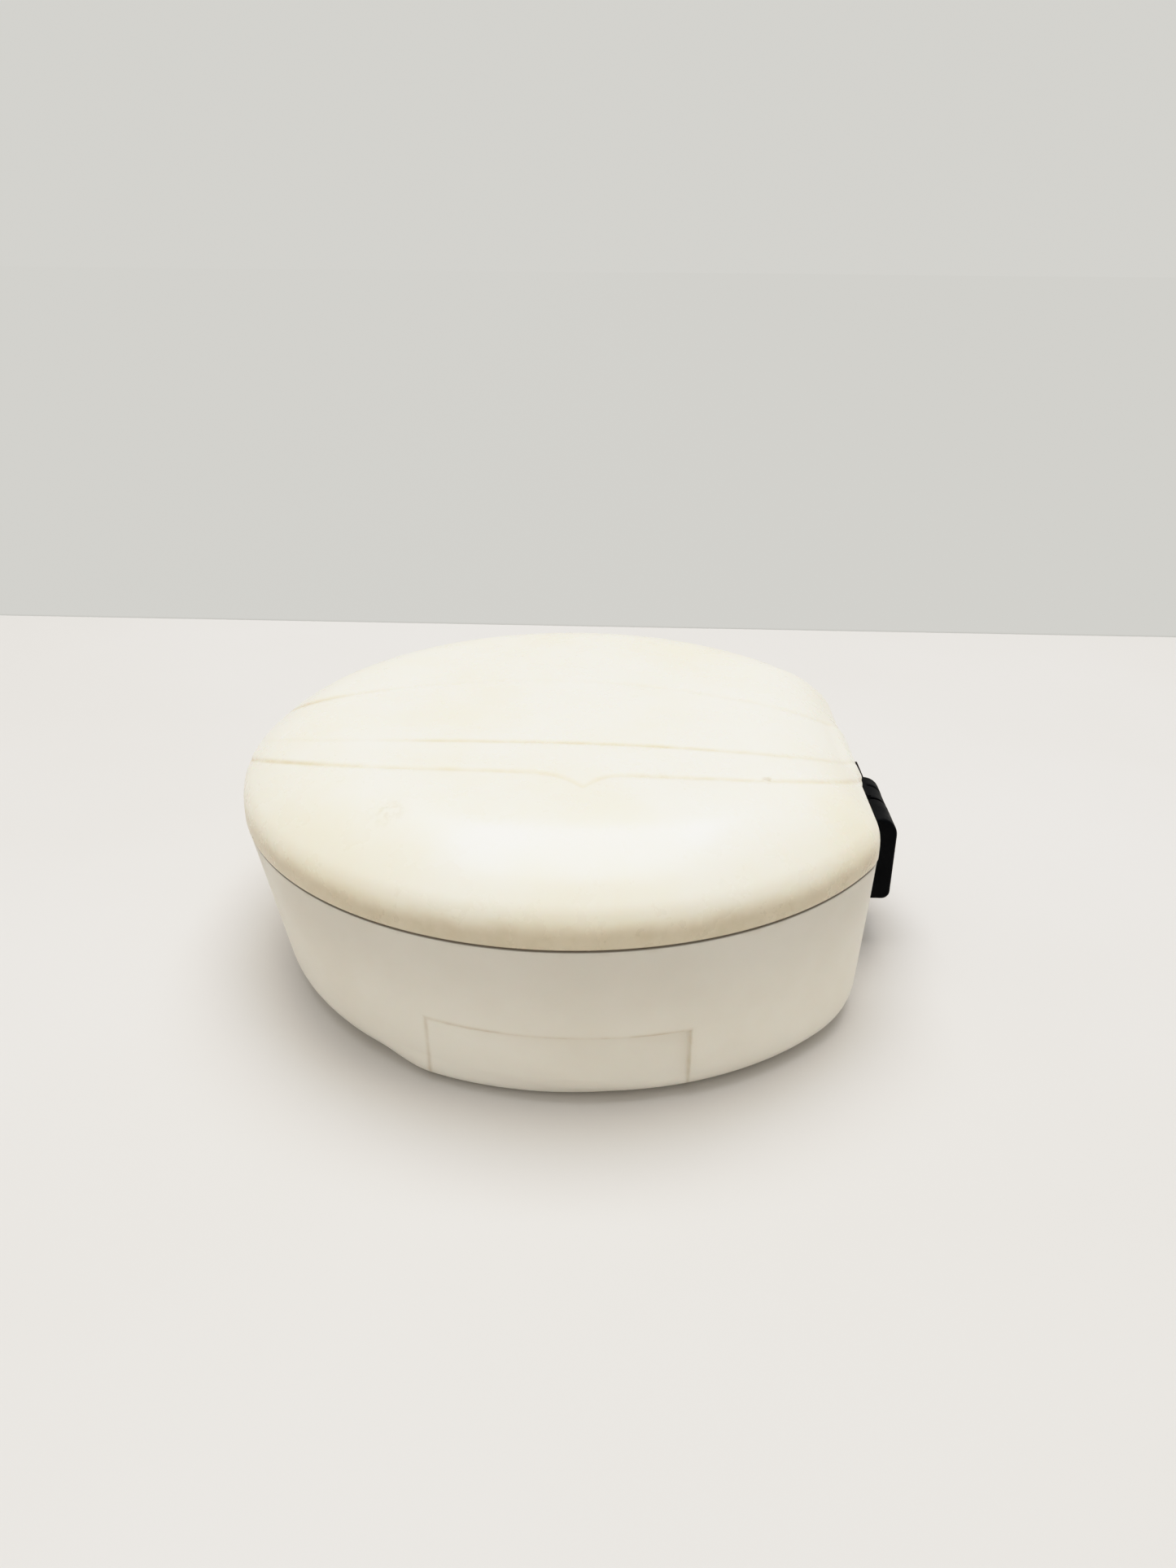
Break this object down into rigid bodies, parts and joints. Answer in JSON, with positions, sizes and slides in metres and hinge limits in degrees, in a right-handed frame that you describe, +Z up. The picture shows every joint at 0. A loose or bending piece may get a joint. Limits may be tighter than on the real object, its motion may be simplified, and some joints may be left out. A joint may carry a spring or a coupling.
{
  "type": "mouthguard with case",
  "caption": "Hinged D-shaped plastic case with a low lid and a black pin hinge on its flat side, holding a lined arch-shaped mouthguard.",
  "frame": {"origin": "centre of the case's round side, on its underside", "axes": "+Z up, +X towards the flat hinge side, so the catch end is at -X; +Y is to the left when facing +X"},
  "size_m": [0.0797, 0.08, 0.0296],
  "materials": {
    "base_plastic": "satin cream-white moulding",
    "lid_plastic": "glossy cream-white moulding",
    "hinge_plastic": "black moulding",
    "steel": "plain",
    "guard_shell": "satin dark rubber",
    "guard_liner": "milky soft gel"
  },
  "bodies": {
    "base": {"base_shell": "base_plastic", "hinge_bracket": "hinge_plastic", "hinge_pin": "steel", "bracket_screws": "steel"},
    "lid": {"lid_shell": "lid_plastic", "hinge_leaf": "hinge_plastic", "leaf_screws": "steel"},
    "mouthguard": {"mouthguard_shell": "guard_shell", "mouthguard_liner": "guard_liner"}
  },
  "joints": [
    {"name": "lid_hinge", "type": "hinge", "parent": "base", "child": "lid", "pos_m": [0.03725, 0, 0.0158], "axis": [0, 1, 0], "range_deg": [0, 120]},
    {"name": "mouthguard_lift", "type": "slide", "parent": "base", "child": "mouthguard", "axis": [0, 0, 1], "range_m": [0, 0.0035]}
  ]
}
